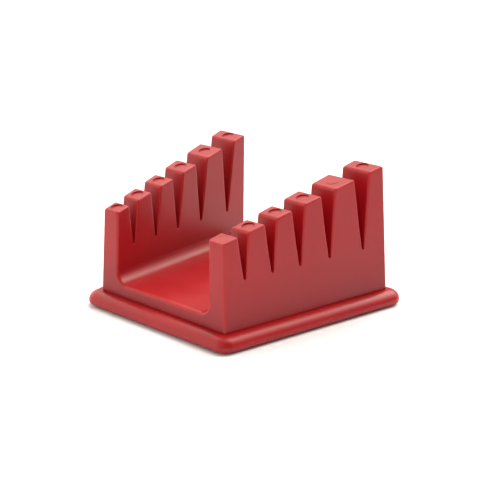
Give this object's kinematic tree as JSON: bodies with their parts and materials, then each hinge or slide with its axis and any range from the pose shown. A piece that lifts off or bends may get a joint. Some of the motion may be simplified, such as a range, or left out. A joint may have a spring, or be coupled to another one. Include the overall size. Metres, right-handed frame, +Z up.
{
  "type": "slotted strap holder",
  "caption": "Flared U-shaped bench holder with a row of V-slots in each wall, on a beaded base with round non-slip pads.",
  "frame": {"origin": "middle of the footprint, on the surface that the pads stand on", "axes": "+X across the walls to the right, +Y from the low front end to the tall back end, +Z up"},
  "size_m": [0.0692, 0.0592, 0.0371],
  "materials": {
    "red_moulding": "satin, fine moulded grain",
    "screw_steel": "zinc plated",
    "pad_rubber": "matte"
  },
  "bodies": {
    "root": {"cradle": "red_moulding", "base": "red_moulding", "base_screws": "screw_steel", "foot_pads": "pad_rubber"}
  },
  "joints": []
}
